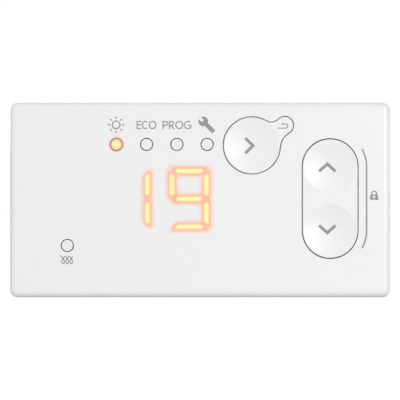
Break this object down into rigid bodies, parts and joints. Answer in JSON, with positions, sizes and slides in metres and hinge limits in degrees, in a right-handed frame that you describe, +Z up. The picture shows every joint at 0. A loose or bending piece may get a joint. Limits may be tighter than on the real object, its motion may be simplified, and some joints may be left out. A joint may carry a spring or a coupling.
{
  "type": "heater control unit",
  "caption": "Plug-in control unit of an electric convector heater: flat white panel with a digit display, indicator lamps, a round mode key and an up/down rocker key.",
  "frame": {"origin": "centre of the front cover's rear rim, which seats on the heater's panel", "axes": "+X to the right along the face, +Z up, +Y from the face into the heater"},
  "size_m": [0.088, 0.032, 0.045],
  "materials": {
    "white_abs": "satin moulded",
    "key_abs": "satin moulded",
    "opal_acrylic": "satin opal",
    "lit_opal_acrylic": "satin opal, lit from behind",
    "grey_abs": "spark-eroded moulded",
    "silicone": "matte moulded",
    "carbon_rubber": "matte",
    "acetal": "satin moulded",
    "pin_steel": "ground",
    "screw_steel": "zinc plated",
    "light_box_plastic": "matte moulded",
    "diffuser_film": "matte film",
    "led_package": "moulded",
    "board_laminate": "solder mask",
    "chip_epoxy": "moulded",
    "relay_case": "moulded",
    "dropper_case": "moulded",
    "can_sleeve": "shrunk sleeve",
    "varistor_coat": "dipped epoxy",
    "fuse_case": "moulded",
    "thermistor_coat": "dipped epoxy on tinned leads",
    "grey_ink": "screen printed",
    "tinned_brass": "tin plated"
  },
  "bodies": {
    "housing": {"front_cover": "white_abs", "key_mat": "silicone", "comfort_light_pipe": "lit_opal_acrylic", "eco_light_pipe": "opal_acrylic", "programme_light_pipe": "opal_acrylic", "service_light_pipe": "opal_acrylic", "heating_light_pipe": "opal_acrylic", "display_light_box": "light_box_plastic", "display_diffuser": "diffuser_film", "segment_leds": "led_package", "indicator_leds": "led_package", "circuit_board": "board_laminate", "microcontroller": "chip_epoxy", "switching_relay": "relay_case", "dropper_capacitor": "dropper_case", "bridge_rectifier": "chip_epoxy", "board_fuse": "fuse_case", "reservoir_capacitor": "can_sleeve", "surge_varistor": "varistor_coat", "air_sensor": "thermistor_coat", "blade_terminals": "tinned_brass", "rear_housing": "grey_abs", "cover_screws": "screw_steel"},
    "mode_button": {"mode_key": "key_abs", "mode_contact": "carbon_rubber"},
    "saddle": {"rocker_saddle": "acetal", "rocker_pin": "pin_steel"},
    "rocker": {"temperature_rocker": "key_abs", "rocker_contacts": "carbon_rubber"}
  },
  "joints": [
    {"name": "mode_press", "type": "slide", "parent": "housing", "child": "mode_button", "axis": [0, 1, 0], "range_m": [0, 0.0007], "stiffness_N_per_m": 2000, "deforming": ["key_mat"]},
    {"name": "lock_press", "type": "slide", "parent": "housing", "child": "saddle", "axis": [0, 1, 0], "range_m": [0, 0.00035], "stiffness_N_per_m": 4000, "deforming": ["key_mat"]},
    {"name": "temperature_tilt", "type": "hinge", "parent": "saddle", "child": "rocker", "pos_m": [0.03002, -0.0106, 0.00032], "axis": [1, 0, 0], "range_deg": [-2, 2], "stiffness_Nm_per_rad": 0.3, "deforming": ["key_mat"]}
  ]
}
